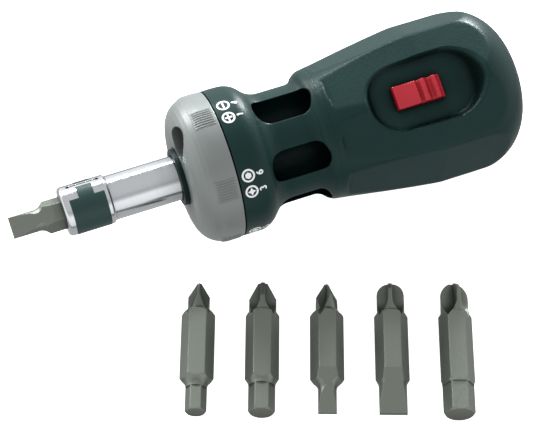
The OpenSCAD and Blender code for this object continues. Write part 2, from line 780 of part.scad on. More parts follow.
module bit_cross_2_hex_5() in_row(1) bit("cross", cross_2, "hex", hex_5_af, 45);

module bit_cross_1_slot_4() in_row(2) bit("cross", cross_1, "slot", slot_4_w, 25);

module bit_cross_2_slot_6() in_row(3) bit("cross", cross_2_short, "slot", slot_6_w, 50);

module bit_cross_3_hex_6() in_row(4) bit("cross", cross_3, "hex", hex_6_af, 30);

grip_shell();
magazine_body();
dispensing_cap();
cap_retaining_ring();
cap_detent_ball();
cap_detent_spring();
shaft();
bit_clip();
bit_magnet();
front_bush();
rear_bush();
ratchet_housing();
housing_cover();
cover_screws();
ratchet_gear();
front_thrust_washer();
rear_thrust_washer();
shaft_circlip();
rocker_pawl();
pawl_pin();
selector_switch();
selector_carriage();
pawl_spring();
selector_detent_ball();
selector_detent_spring();
drive_bit();
bit_cross_1_hex_4();
bit_cross_2_hex_5();
bit_cross_1_slot_4();
bit_cross_2_slot_6();
bit_cross_3_hex_6();
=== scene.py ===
# %% [markdown]
# # Dressing a stubby ratcheting screwdriver
# The frame is the finished construction: every solid part stands in metres where it belongs.
# This lesson gives the parts their real surfaces, adds what is too fine for the solids, and
# sets the table top, the lights and the camera.

# %% Load the frame and keep its box
import math

import bmesh
import bpy
import numpy as np
from mathutils import Matrix, Vector


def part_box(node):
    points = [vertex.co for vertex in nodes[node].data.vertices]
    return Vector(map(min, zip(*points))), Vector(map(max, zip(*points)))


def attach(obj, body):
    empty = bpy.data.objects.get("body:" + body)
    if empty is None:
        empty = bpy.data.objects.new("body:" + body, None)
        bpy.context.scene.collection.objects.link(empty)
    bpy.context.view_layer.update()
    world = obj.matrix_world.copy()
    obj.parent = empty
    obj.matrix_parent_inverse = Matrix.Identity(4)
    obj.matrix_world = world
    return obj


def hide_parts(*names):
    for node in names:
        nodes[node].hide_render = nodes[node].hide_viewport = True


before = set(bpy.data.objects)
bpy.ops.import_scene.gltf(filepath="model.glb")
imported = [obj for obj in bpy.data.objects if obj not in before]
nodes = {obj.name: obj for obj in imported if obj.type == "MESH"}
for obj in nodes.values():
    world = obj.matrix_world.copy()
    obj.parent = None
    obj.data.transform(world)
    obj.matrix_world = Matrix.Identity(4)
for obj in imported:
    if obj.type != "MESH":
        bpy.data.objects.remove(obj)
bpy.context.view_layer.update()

print("parts in the frame:", len(nodes))

# %% [markdown]
# ## The driver's own frame
# The driver lies rolled on one flat of its grip, so every measure is taken in a frame of its
# own: x runs along the axis from the collar's front face, in millimetres, and an angle is
# counted from the switch toward the far side. One function lays such points on the table.

# %% The driver's frame, measured from its parts
MM = 0.001
CAP_GAP = 0.3
ROLL = math.radians(22.5)
shaft_low, shaft_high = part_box("shaft")
AXIS_Z = (shaft_low.z + shaft_high.z) / 2
COLLAR_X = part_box("dispensing_cap")[1].x + CAP_GAP * MM


def lay(x, y, z):
    """Driver millimetres to frame metres: turn (y, z) by the roll about the axis, then shift."""
    x, y, z = np.broadcast_arrays(np.asarray(x, float), y, z)
    side = y * math.cos(ROLL) - z * math.sin(ROLL)
    height = y * math.sin(ROLL) + z * math.cos(ROLL)
    return np.stack([x * MM + COLLAR_X, side * MM, height * MM + AXIS_Z], -1)


def on_round(x, radius, angle):
    """The point at a distance from the axis, in the direction of an angle from the switch."""
    return lay(x, radius * np.sin(angle), radius * np.cos(angle))


print("axis height %.2f mm, collar at x %.2f mm" % (AXIS_Z / MM, COLLAR_X / MM))

# %% [markdown]
# ## The camera
# The picture is taken from high up and far away with a long lens. With a picture 536 pixels
# wide and a focal length of 1800 pixels, the lens is 1800 / 536 of the sensor's 36 mm.

# %% The camera
PICTURE_W = 536
FOCAL_PX = 1800
SENSOR_MM = 36
AZIMUTH = math.radians(-20.2)
ELEVATION = math.radians(58.8)
DISTANCE = 420 * MM
AIM_RIGHT = -40.2 * MM
AIM_UP = -19.2 * MM
NEAREST = 10 * MM

back = np.array([
    math.sin(AZIMUTH) * math.cos(ELEVATION),
    -math.cos(AZIMUTH) * math.cos(ELEVATION),
    math.sin(ELEVATION)])
right = np.array([math.cos(AZIMUTH), math.sin(AZIMUTH), 0])
up = np.cross(back, right)
eye = right * AIM_RIGHT + up * AIM_UP + back * DISTANCE

lens = bpy.data.cameras.new("camera")
lens.sensor_width = SENSOR_MM
lens.lens = FOCAL_PX / PICTURE_W * SENSOR_MM
lens.clip_start = NEAREST
camera = bpy.data.objects.new("camera", lens)
bpy.context.scene.collection.objects.link(camera)
turn = np.eye(4)
turn[:3, 0] = right
turn[:3, 1] = up
turn[:3, 2] = back
turn[:3, 3] = eye
camera.matrix_world = Matrix(turn.tolist())
bpy.context.scene.camera = camera
print("lens %.1f mm" % lens.lens)

# %% [markdown]
# ## Materials
# Each finish starts from the real material and from how its surface was made. Colours are
# written as sRGB hex values, as they are picked, and one function makes them linear.
# One small function adds a node with its settings and links.

# %% Colour and node helpers


def linear(hex_colour):
    """sRGB hex to linear RGBA: c becomes ((c + 0.055) / 1.055) ** 2.4, or c / 12.92 when small."""
    c = np.array([int(hex_colour[i:i + 2], 16) for i in (1, 3, 5)]) / 255
    curve = np.where(c <= 0.04045, c / 12.92, ((c + 0.055) / 1.055) ** 2.4)
    return (*curve.tolist(), 1.0)


def add(tree, kind, inputs, **settings):
    """Adds a node: settings are its own values, inputs maps a socket to a value or an output."""
    node = tree.nodes.new(kind)
    for name, value in settings.items():
        setattr(node, name, value)
    for socket, value in inputs.items():
        if isinstance(value, bpy.types.NodeSocket):
            tree.links.new(value, node.inputs[socket])
        else:
            node.inputs[socket].default_value = value
    return node


def per_metre(size_mm):
    """Texture scale for a feature of that size: one over the size in metres."""
    return 1 / (size_mm * MM)


def start(name):
    """A new material, its emptied node tree, and the place on the object in metres."""
    material = bpy.data.materials.new(name)
    material.use_nodes = True
    tree = material.node_tree
    tree.nodes.clear()
    place = add(tree, "ShaderNodeTexCoord", {}).outputs["Object"]
    return material, tree, place


def close(tree, shader):
    """Links the shader to the material's output."""
    add(tree, "ShaderNodeOutputMaterial", {"Surface": shader.outputs["BSDF"]})


# %% [markdown]
# ### Moulded plastics
# The handle is injection-moulded ABS. Its mould was spark-eroded, which leaves a fine, even
# grain that spreads every highlight into a soft sheen. The real grain is about 0.1 mm wide,
# too fine for a picture with 0.22 mm pixels, so it is drawn 0.45 mm wide. The cap has the same
# finish in grey, a little smoother, and the switch is left almost smooth. Shade is painted into
# hollows: where one sees little of the room, the colour goes to a deeper tone and shines less.
# A moulded edge is never quite sharp, so the shading rounds each edge by a fraction of a millimetre.

# %% Moulded plastics
# Painted shade in hollows: how far the occlusion looks, where the colour starts to darken, and the share
# of shine left in full shade.
HOLLOW_MM = 8
OPEN_SKY = (0.55, 0.93)
SHADED_SHINE = 0.3
SHADE_RAYS = 6
TONE_MM = 9
NOISE_SPAN = (0.3, 0.7)
ABS_SPREAD = 0.1
ABS_IOR = 1.5


def moulded_abs(name, colours, roughness, grain, gloss, edge_mm):
    """Plastic: fine noise for the bump, wide noise for the tone, painted shade in hollows."""
    colour, tint, shade_colour = colours
    grain_mm, grain_depth_mm = grain
    material, tree, place = start(name)
    noise = add(tree, "ShaderNodeTexNoise", {
        "Vector": place, "Scale": per_metre(grain_mm), "Detail": 2.0, "Roughness": 0.6})
    tone = add(tree, "ShaderNodeTexNoise", {
        "Vector": place, "Scale": per_metre(TONE_MM), "Detail": 3.0, "Roughness": 0.55})
    mixed = add(tree, "ShaderNodeMix", {
        "Factor": tone.outputs["Fac"], "A": linear(colour), "B": linear(tint)}, data_type="RGBA")
    # Painted shade: the colour goes to the shade colour and the shine falls where the occlusion finds
    # hollows.
    open_sky = add(tree, "ShaderNodeAmbientOcclusion", {
        "Distance": HOLLOW_MM * MM}, samples=SHADE_RAYS)
    unshaded = add(tree, "ShaderNodeMapRange", {
        "Value": open_sky.outputs["AO"], "From Min": OPEN_SKY[0], "From Max": OPEN_SKY[1]})
    # The painted shade on the recess wall is read from a value on the mesh.
    wall_shade = add(tree, "ShaderNodeAttribute", {}, attribute_name="painted_wall_shade")
    openness = add(tree, "ShaderNodeMath", {
        0: unshaded.outputs["Result"], 1: wall_shade.outputs["Fac"]},
        operation="SUBTRACT", use_clamp=True)
    shaded = add(tree, "ShaderNodeMix", {
        "Factor": openness.outputs["Value"], "A": linear(shade_colour), "B": mixed.outputs["Result"]},
        data_type="RGBA")
    shine = add(tree, "ShaderNodeMapRange", {
        "Value": openness.outputs["Value"], "To Min": gloss * SHADED_SHINE, "To Max": gloss})
    matt = add(tree, "ShaderNodeMapRange", {
        "Value": noise.outputs["Fac"], "From Min": NOISE_SPAN[0], "From Max": NOISE_SPAN[1],
        "To Min": roughness * (1 - ABS_SPREAD), "To Max": roughness * (1 + ABS_SPREAD)})
    rounded = add(tree, "ShaderNodeBevel", {"Radius": edge_mm * MM}, samples=SHADE_RAYS)
    relief = add(tree, "ShaderNodeBump", {
        "Height": noise.outputs["Fac"], "Distance": grain_depth_mm * MM, "Strength": 1.0,
        "Normal": rounded.outputs["Normal"]})
    close(tree, add(tree, "ShaderNodeBsdfPrincipled", {
        "Base Color": shaded.outputs["Result"], "Roughness": matt.outputs["Result"],
        "Normal": relief.outputs["Normal"], "IOR": ABS_IOR,
        "Specular IOR Level": shine.outputs["Result"]}))
    return material


# Each plastic lists its colour, a second tone for the wide noise, and the colour of the painted shade.
BLACK = ("#102a28", "#163230", "#02100e")
black_abs = moulded_abs(
    "spark_eroded_black_abs", BLACK,
    roughness=0.37, grain=(0.45, 0.045), gloss=0.14, edge_mm=0.1)
body_abs = moulded_abs(
    "moulded_black_abs", BLACK,
    roughness=0.37, grain=(0.45, 0.045), gloss=0.14, edge_mm=0.35)
grey_abs = moulded_abs(
    "satin_grey_abs", ("#6c7270", "#747a78", "#3c4442"),
    roughness=0.40, grain=(0.40, 0.012), gloss=0.8, edge_mm=0.4)
red_abs = moulded_abs(
    "smooth_red_abs", ("#ab1e2c", "#b52131", "#86141f"),
    roughness=0.33, grain=(0.30, 0.006), gloss=0.4, edge_mm=0.15)
black_acetal = moulded_abs(
    "black_acetal", ("#223a38", "#28413f", "#0a1a18"),
    roughness=0.42, grain=(0.30, 0.008), gloss=0.25, edge_mm=0.2)
print("plastics:", black_abs.name, body_abs.name, grey_abs.name, red_abs.name, black_acetal.name)

# %% [markdown]
# ### Metals
# The shaft is turned, polished and chrome plated: a mirror with the faintest turning marks round
# the axis, and crisp edges. The bits are hardened tool steel, ground and bead blasted, so they are
# a dull grey with a fine speckle, and their edges are worn a little round. The pieces inside are
# sintered, die cast, turned or wound, and get plain but true finishes. All get painted shade in hollows.

# %% Metals
EVEN = (1, 1, 1)
ROUND_AXIS = (1, 0.08, 0.08)
CRISP_EDGE_MM = 0.08
WORN_EDGE_MM = 0.3
METAL_SPREAD = 0.2


def bare_metal(name, colours, roughness, mark, stretch=EVEN, edge_mm=WORN_EDGE_MM):
    """Metal: noise squeezed by stretch along each axis, in tone, gloss and bump; painted shade in
    hollows.
    """
    colour, tint = colours
    mark_mm, mark_depth_mm = mark
    material, tree, place = start(name)
    squeezed = add(tree, "ShaderNodeMapping", {"Vector": place, "Scale": stretch})
    marks = add(tree, "ShaderNodeTexNoise", {
        "Vector": squeezed.outputs["Vector"], "Scale": per_metre(mark_mm),
        "Detail": 3.0, "Roughness": 0.6})
    mixed = add(tree, "ShaderNodeMix", {
        "Factor": marks.outputs["Fac"], "A": linear(colour), "B": linear(tint)}, data_type="RGBA")
    # Painted shade: the colour darkens where the occlusion finds hollows.
    open_sky = add(tree, "ShaderNodeAmbientOcclusion", {
        "Color": mixed.outputs["Result"], "Distance": HOLLOW_MM * MM}, samples=SHADE_RAYS)
    gloss = add(tree, "ShaderNodeMapRange", {
        "Value": marks.outputs["Fac"], "From Min": NOISE_SPAN[0], "From Max": NOISE_SPAN[1],
        "To Min": roughness * (1 - METAL_SPREAD), "To Max": roughness * (1 + METAL_SPREAD)})
    rounded = add(tree, "ShaderNodeBevel", {"Radius": edge_mm * MM}, samples=SHADE_RAYS)
    relief = add(tree, "ShaderNodeBump", {
        "Height": marks.outputs["Fac"], "Distance": mark_depth_mm * MM, "Strength": 1.0,
        "Normal": rounded.outputs["Normal"]})
    close(tree, add(tree, "ShaderNodeBsdfPrincipled", {
        "Base Color": open_sky.outputs["Color"], "Metallic": 1.0,
        "Roughness": gloss.outputs["Result"], "Normal": relief.outputs["Normal"]}))
    return material


chrome = bare_metal(
    "polished_chrome_plate", ("#c6cace", "#d0d3d6"), roughness=0.15, mark=(0.5, 0.0006),
    stretch=ROUND_AXIS, edge_mm=CRISP_EDGE_MM)
tool_steel = bare_metal("blasted_tool_steel", ("#757a73", "#83887f"), roughness=0.46, mark=(0.35, 0.010))
spring_steel = bare_metal("drawn_spring_steel", ("#8d9092", "#9a9da0"), roughness=0.28, mark=(0.3, 0.002))
sintered_steel = bare_metal("sintered_steel", ("#5f6264", "#74777a"), roughness=0.50, mark=(0.3, 0.012))
cast_zinc = bare_metal("die_cast_zinc", ("#9a9c9e", "#a9abad"), roughness=0.45, mark=(0.8, 0.010))
bronze = bare_metal("sintered_bronze", ("#8f6b38", "#a37d45"), roughness=0.42, mark=(0.3, 0.008))
nickel = bare_metal("nickel_plated_magnet", ("#c3c1b8", "#cdcbc2"), roughness=0.18, mark=(0.5, 0.001))
print("metals:", chrome.name, tool_steel.name, cast_zinc.name)

# %% Which part is made of what
FINISHES = {
    black_abs: ["grip_shell"],
    body_abs: ["magazine_body"],
    grey_abs: ["dispensing_cap"],
    red_abs: ["selector_switch"],
    black_acetal: ["cap_retaining_ring", "bit_clip"],
    chrome: ["shaft"],
    tool_steel: ["drive_bit", "bit_cross_1_hex_4", "bit_cross_2_hex_5", "bit_cross_1_slot_4",
                 "bit_cross_2_slot_6", "bit_cross_3_hex_6"],
    spring_steel: ["cap_detent_ball", "cap_detent_spring", "shaft_circlip", "pawl_spring",
                   "pawl_pin", "selector_detent_ball", "selector_detent_spring", "cover_screws"],
    sintered_steel: ["ratchet_gear", "rocker_pawl"],
    cast_zinc: ["ratchet_housing", "housing_cover", "selector_carriage"],
    bronze: ["front_bush", "rear_bush", "front_thrust_washer", "rear_thrust_washer"],
    nickel: ["bit_magnet"],
}
for finish, names in FINISHES.items():
    for name in names:
        nodes[name].data.materials.clear()
        nodes[name].data.materials.append(finish)
dressed = sum(len(names) for names in FINISHES.values())
print("parts with a finish:", dressed, "of", len(nodes))

# %% [markdown]
# ## New pieces
# Every new piece is an array of points and an array of faces. One function makes the mesh, turns
# all faces outwards, shades it smooth up to an angle, and fixes it to the body that carries it.

# %% Mesh helpers


def grid_faces(rows, columns, first=0, wrap=False):
    """Quads between neighbouring points of a grid that is numbered row by row."""
    across = columns if wrap else columns - 1
    r, c = np.meshgrid(np.arange(rows - 1), np.arange(across), indexing="ij")
    near = first + r * columns + c
    far = first + r * columns + (c + 1) % columns
    return np.stack([near, far, far + columns, near + columns], -1).reshape(-1, 4)


def strip_faces(a, b):
    """Quads between two equally long rows of point numbers."""
    return np.stack([a[:-1], a[1:], b[1:], b[:-1]], -1)


def hoop_faces(ring, shift):
    """Quads from a closed row of point numbers to the same row, counted on by the shift."""
    following = np.roll(ring, -1)
    return np.stack([ring, following, following + shift, ring + shift], -1)


def join(shapes):
    """Several shapes as one: their points one after another, their faces counted on."""
    firsts = np.cumsum([0] + [len(points) for points, _ in shapes])
    faces = [[first + corner for corner in face]
             for first, (_, shape_faces) in zip(firsts, shapes) for face in shape_faces]
    return np.vstack([points for points, _ in shapes]), faces


def make_piece(name, points, faces, finish, body, sharp_deg):
    """A mesh from points in metres, with outward faces, shaded smooth below the sharp angle."""
    mesh = bpy.data.meshes.new(name)
    mesh.from_pydata(np.reshape(points, (-1, 3)).tolist(), [], [list(face) for face in faces])
    shape = bmesh.new()
    shape.from_mesh(mesh)
    bmesh.ops.recalc_face_normals(shape, faces=shape.faces)
    shape.to_mesh(mesh)
    shape.free()
    mesh.shade_smooth()
    mesh.set_sharp_from_angle(angle=math.radians(sharp_deg))
    mesh.materials.append(finish)
    piece = bpy.data.objects.new(name, mesh)
    bpy.context.scene.collection.objects.link(piece)
    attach(piece, body)
    print(name, "faces:", len(mesh.polygons))
    return piece


def soft_min(a, b, width):
    """Smaller of two heights, rounded where they differ by less than the width."""
    near = np.clip(width - np.abs(a - b), 0, None) / width
    return np.minimum(a, b) - near * near * width / 4


def ramp(value, low, high):
    """Smooth step from 0 at low to 1 at high: 3 t^2 - 2 t^3 of the share t of the way."""
    t = np.clip((value - low) / (high - low), 0, 1)
    return t * t * (3 - 2 * t)


# %% [markdown]
# ## The grip
# The solid grip is a turned shape with eight flats, and its edges are sharp. The real one comes
# from a mould with round edges, and these catch the light, so the grip gets a skin of its own. The
# skin is a height over the axis at each place along it and each angle: the smallest of the turned
# outline, the flats and the switch recess, with every crossing rounded. The same eight flats,
# recess and slot are in the solid. Toward the front the skin cuts the flats up to about half a
# millimetre deeper, so that their edges show, and it ends them in a small step.

# %% The grip's outline
GRIP_R = 18.5
FLAT_R = 17.2
FLAT_FRONT_R = 14.35
SHOULDER_R = 14.9
TAPER = math.radians(10)
TAPER_BLEND_R = 30
BUTT_ROUND_R = 12.5
FLAT_STEP = math.radians(45)
FLAT_START = 0.9
FLAT_STEP_L = 0.7
FLAT_LIFT = 0.8
FLAT_CORNER_W = 0.3
grip_low, grip_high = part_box("grip_shell")
SHOULDER_X = (grip_low.x - COLLAR_X) / MM
BUTT_X = (grip_high.x - COLLAR_X) / MM
BLEND_DROP = TAPER_BLEND_R * (1 - math.cos(TAPER))
BLEND_X = SHOULDER_X + (GRIP_R - SHOULDER_R - BLEND_DROP) / math.tan(TAPER)
WIDEST_X = BLEND_X + TAPER_BLEND_R * math.sin(TAPER)


def turned_radius(x):
    """Cone up to the blend, a circle of the blend's radius up to the widest place, a cylinder."""
    cone = SHOULDER_R + (x - SHOULDER_X) * math.tan(TAPER)
    to_widest = np.clip(WIDEST_X - x, 0, TAPER_BLEND_R * math.sin(TAPER))
    blend = GRIP_R - TAPER_BLEND_R + np.sqrt(TAPER_BLEND_R ** 2 - to_widest ** 2)
    return np.where(x < BLEND_X, cone, blend)


def flats_radius(x, angle):
    """Distance of the flats at an angle: a flat's level over the cosine of the angle from it."""
    away = np.abs((angle + FLAT_STEP) % FLAT_STEP - FLAT_STEP / 2)
    level = np.interp(x, [SHOULDER_X, WIDEST_X], [FLAT_FRONT_R, FLAT_R])
    level = level + FLAT_LIFT * (1 - ramp(x - SHOULDER_X - FLAT_START, 0, FLAT_STEP_L))
    return soft_min(level / np.cos(away), level / np.cos(FLAT_STEP - away), FLAT_CORNER_W)


print("grip from x %.1f to %.1f mm, widest from %.1f mm" % (SHOULDER_X, BUTT_X, WIDEST_X))

# %% [markdown]
# ### The recess
# The floor of the recess is a flat oval, and its wall leans outwards. At each angle the skin has to
# find where a ray from the axis meets floor or wall. That has no closed formula, so the ray is
# halved thirty times, for all angles at once.

# %% The recess
FLOOR_R = 13.5
WALL_SLOPE = 1.86
OVAL_HALF = (11.5, 7.0)
OVAL_CORNER_R = 6
FLOOR_ROUND = 0.5
NEAR = FLOOR_R * 0.9
FAR = 40
HALVINGS = 30
SWITCH_SIDE = 0.5
SWITCH_X = 43.5
RECESS_X = SWITCH_X + 1


def past_oval(x, y):
    """Signed distance outside a rectangle with round corners."""
    qx = np.abs(x - RECESS_X) - OVAL_HALF[0] + OVAL_CORNER_R
    qy = np.abs(y) - OVAL_HALF[1] + OVAL_CORNER_R
    outside = np.hypot(np.maximum(qx, 0), np.maximum(qy, 0))
    return outside + np.minimum(np.maximum(qx, qy), 0) - OVAL_CORNER_R


def recess_radius(x, angle):
    """Radius where a ray's height is the floor plus the wall's slope times the way past the oval."""
    def over_wall(radius):
        past = past_oval(x, radius * np.sin(angle))
        lift = (past + np.sqrt(past * past + FLOOR_ROUND ** 2)) / 2
        return radius * np.cos(angle) - FLOOR_R - WALL_SLOPE * lift
    low = np.full(np.broadcast(x, angle).shape, NEAR)
    high = np.full_like(low, FAR)
    for _ in range(HALVINGS):
        middle = (low + high) / 2
        above = over_wall(middle) > 0
        high = np.where(above, middle, high)
        low = np.where(above, low, middle)
    return np.where(np.cos(angle) > SWITCH_SIDE, high, FAR)


# %% [markdown]
# ### The skin as one closed shell
# Rows of points run round the axis. They start in the bore, come out over the front edge, and go
# back over the outside to the butt, so that one grid makes a closed shell. The slot under the
# switch is a hole in both layers, joined by four walls. Columns lie closer at the recess. Shade is
# painted onto the wall of the recess, so it looks darker than the skin round it: a value on each
# point tells the finish how much shade is painted there.

# %% The grip's skin
SLOT_HALF = (3.5, 1.6)
SLOT_X = (SWITCH_X - SLOT_HALF[0], SWITCH_X + SLOT_HALF[0])
SLOT_ANGLE = math.atan(SLOT_HALF[1] / FLOOR_R)
SLOT_ROWS = 17
BORE_FRONT_R = 13.25
BORE_R = 12.8
BORE_STEP_X = 34.7
BORE_END_X = 57.5
POLE_R = 0.4
ROW_STEP = 0.3
ROW_CLEAR = 0.1
BUTT_ROWS = 44
FACE_ROWS = 6
CLOSE_DEG = 45
CLOSE_STEP_DEG = 0.5
WIDE_STEP_DEG = 1.5
FLAT_EDGE_W = 0.2
RIM_W = 1.3
# Painted shade on the recess wall: its strength, its fade in from the foot, and its fade out to the rim.
WALL_SHADE_STRENGTH = 0.8
FOOT_FADE = (-1.3, 0.6)
RIM_FADE = (-0.2, 1.4)

wide = np.radians(np.arange(CLOSE_DEG, 360 - CLOSE_DEG, WIDE_STEP_DEG))
close_by = np.radians(np.arange(-CLOSE_DEG, CLOSE_DEG, CLOSE_STEP_DEG))
to_slot_edge = np.abs(np.abs(close_by) - SLOT_ANGLE)
close_by = close_by[to_slot_edge > math.radians(CLOSE_STEP_DEG / 2)]
angles = np.sort(np.r_[close_by, -SLOT_ANGLE, SLOT_ANGLE, wide])
slot_rows = np.linspace(*SLOT_X, SLOT_ROWS)
round_x = BUTT_X - BUTT_ROUND_R
round_r = GRIP_R - BUTT_ROUND_R
straight = np.arange(SHOULDER_X, round_x, ROW_STEP)
straight = straight[(straight < SLOT_X[0] - ROW_CLEAR) | (straight > SLOT_X[1] + ROW_CLEAR)]
straight = np.sort(np.r_[straight, slot_rows])
bend = np.radians(np.linspace(0, 90, BUTT_ROWS))
face_r = np.linspace(round_r, POLE_R, FACE_ROWS + 1)[1:]

outer_x = np.r_[straight, round_x + BUTT_ROUND_R * np.sin(bend), np.full(FACE_ROWS, BUTT_X)]
outer_r = np.r_[turned_radius(straight), round_r + BUTT_ROUND_R * np.cos(bend), face_r]
along = outer_x[:, None]
outline = soft_min(outer_r[:, None], flats_radius(along, angles), FLAT_EDGE_W)
recess = recess_radius(along, angles)
skin = soft_min(outline, recess, RIM_W)
past_floor = past_oval(along, skin * np.sin(angles))
# How much shade is painted at each point of the recess wall.
wall_shade_level = WALL_SHADE_STRENGTH * ramp(past_floor, *FOOT_FADE) * ramp(outline - recess, *RIM_FADE)

inner_x = np.r_[BORE_END_X, BORE_END_X, slot_rows[::-1], BORE_STEP_X, BORE_STEP_X, SHOULDER_X]
inner_r = np.r_[POLE_R, BORE_R, np.full(SLOT_ROWS, BORE_R), BORE_R, BORE_FRONT_R, BORE_FRONT_R]
row_x = np.r_[inner_x, outer_x]
row_r = np.vstack([np.repeat(inner_r[:, None], len(angles), 1), skin])
shell = on_round(row_x[:, None], row_r, angles)
print("skin rows and columns:", row_r.shape)

# %% Close the shell and cut the slot
ROWS_BEFORE_SLOT = 2
WRAP_SPREAD = 0.1
TINY = 1e-9
n_rows, n_cols = row_r.shape
cells = grid_faces(n_rows, n_cols, wrap=True)
cell_x = row_x[cells // n_cols].mean(1)
cell_angle = angles[cells % n_cols]
spread = cell_angle.max(1) - cell_angle.min(1)
in_slot = (np.abs(cell_angle.mean(1)) < SLOT_ANGLE) & (spread < WRAP_SPREAD)
in_slot &= (cell_x > SLOT_X[0]) & (cell_x < SLOT_X[1])
cells = cells[~in_slot]

inner_rows = ROWS_BEFORE_SLOT + np.arange(SLOT_ROWS)[::-1]
outer_rows = len(inner_x) + np.array([np.argmin(np.abs(straight - x)) for x in slot_rows])
slot_cols = np.flatnonzero(np.abs(angles) <= SLOT_ANGLE + TINY)
walls = [strip_faces(outer_rows * n_cols + col, inner_rows * n_cols + col)
         for col in slot_cols[[0, -1]]]
walls += [strip_faces(outer_rows[end] * n_cols + slot_cols, inner_rows[end] * n_cols + slot_cols)
          for end in (0, -1)]

points = shell.reshape(-1, 3)
poles = on_round(np.array([BORE_END_X, BUTT_X]), np.zeros(2), np.zeros(2))
first_ring = np.arange(n_cols)
last_ring = (n_rows - 1) * n_cols + first_ring
fans = [np.stack([ring, np.roll(ring, -1), np.full(n_cols, len(points) + k)], -1)
        for k, ring in enumerate((first_ring, last_ring))]
faces = [*np.vstack([cells, *walls]), *np.vstack(fans)]
grip = make_piece(
    "grip_skin", np.vstack([points, poles]), faces, black_abs, "handle", sharp_deg=50)
in_bore = np.zeros(len(inner_x) * n_cols)
# The painted wall shade goes onto the mesh as a value on each point.
wall_shade = grip.data.attributes.new("painted_wall_shade", "FLOAT", "POINT")
wall_shade.data.foreach_set("value", np.r_[in_bore, wall_shade_level.ravel(), np.zeros(len(poles))])
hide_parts("grip_shell")

# %% [markdown]
# ## Grip ridges of the cap
# A thumb turns the cap, so it has six patches of fine ridges, one in line with each window. Each
# ridge is a long low wave. Its height falls to nothing at both ends and at the edges of its patch,
# and its foot lies inside the cap, so no gap shows.

# %% Cap ridges
CAP_R = 16.5
CAP_ROUND_R = 6.0
CAP_FRONT_X = -9.4
WINDOW_COUNT = 6
WINDOWS = np.radians(360 / WINDOW_COUNT * (np.arange(WINDOW_COUNT) + 0.5))
RIDGE_COUNT = 8
RIDGE_PITCH = 0.62
RIDGE_H = 0.17
RIDGE_X = (-5.6, -0.5)
RIDGE_FADE = 0.7
RIDGE_SINK = 0.25
VALLEY_SINK = 0.02
RIDGE_ROWS = 40
HUMP_STEPS = 10


def cap_radius(x):
    """Radius of the cap: a cylinder, with a quarter circle down to the front."""
    into_round = np.clip(CAP_FRONT_X + CAP_ROUND_R - x, 0, CAP_ROUND_R)
    return CAP_R - CAP_ROUND_R + np.sqrt(CAP_ROUND_R ** 2 - into_round ** 2)


def ridge_patch(middle):
    """Radius = cap + height x wave across x fade along; the wave is a squared sine, a hump a ridge."""
    along = np.linspace(*RIDGE_X, RIDGE_ROWS)[:, None]
    across = np.linspace(0, RIDGE_COUNT, RIDGE_COUNT * HUMP_STEPS + 1)[None, :]
    angle = middle + (across - RIDGE_COUNT / 2) * RIDGE_PITCH / CAP_R
    fade = ramp(np.minimum(along - RIDGE_X[0], RIDGE_X[1] - along), 0, RIDGE_FADE)
    hump = np.sin(np.pi * across) ** 2
    top = cap_radius(along) - VALLEY_SINK + RIDGE_H * hump * fade
    foot = cap_radius(along) - RIDGE_SINK
    upper = on_round(along, top, angle).reshape(-1, 3)
    lower = on_round(along, foot, angle).reshape(-1, 3)
    rows, columns = top.shape
    number = np.arange(rows * columns).reshape(rows, columns)
    rim = np.r_[number[0, :-1], number[:-1, -1], number[-1, :0:-1], number[:0:-1, 0]]
    sheets = [grid_faces(rows, columns), grid_faces(rows, columns, first=number.size)]
    return np.vstack([upper, lower]), np.vstack([*sheets, hoop_faces(rim, number.size)])


ridge_shape = join([ridge_patch(middle) for middle in WINDOWS])
ridges = make_piece("cap_ridges", *ridge_shape, grey_abs, "cap", sharp_deg=60)

# %% [markdown]
# ## Printed signs
# White signs on the collar tell which bit each channel holds: a ring with the shape of each
# end of the bit, and the end's size under it. They are pad printed, so each stroke is a thin
# film, 0.04 mm high. Filled shapes are a little higher, because their flat face would dip into
# the round collar. A sign is drawn flat first: s runs round the collar, t towards the tip.

# %% Strokes on the collar
PRINT_H = 0.04
FILLED_H = PRINT_H + 0.02
PRINT_SINK = 0.03
LINE_W = 0.42
LINE_STEPS = 8
BOW_STEPS = 24
COLLAR_L = 3.7
NECK_CURVE_R = 5.39


def collar_radius(x):
    """Radius of the collar: a cylinder, then the first circle of the curve down to the waist."""
    past = np.clip(x - COLLAR_L, 0, NECK_CURVE_R)
    return CAP_R - NECK_CURVE_R + np.sqrt(NECK_CURVE_R ** 2 - past ** 2)


def print_on_collar(spots, x, angle, height):
    """Flat points (s, t) on the collar: t moves along the axis, s over the radius turns round it."""
    at = x - spots[:, 1]
    return on_round(at, collar_radius(at) + height, angle + spots[:, 0] / CAP_R)


def stroke(path, x, angle, width=LINE_W, closed=False):
    """A flat ribbon: each point of the path moves both ways, square to it, by half the width."""
    path = np.asarray(path, float)
    if closed:
        run = np.roll(path, -1, 0) - np.roll(path, 1, 0)
    else:
        run = np.gradient(path, axis=0)
    run /= np.linalg.norm(run, axis=1, keepdims=True)
    side = np.stack([-run[:, 1], run[:, 0]], -1) * width / 2
    corners = [(path + side, PRINT_H), (path - side, PRINT_H),
               (path - side, -PRINT_SINK), (path + side, -PRINT_SINK)]
    layers = [print_on_collar(spots, x, angle, height) for spots, height in corners]
    faces = grid_faces(len(path), 4, wrap=True).tolist()
    last = 4 * (len(path) - 1)
    if closed:
        faces += [[last + c, last + (c + 1) % 4, (c + 1) % 4, c] for c in range(4)]
    else:
        faces += [[0, 1, 2, 3], [last, last + 1, last + 2, last + 3]]
    return np.stack(layers, 1).reshape(-1, 3), faces


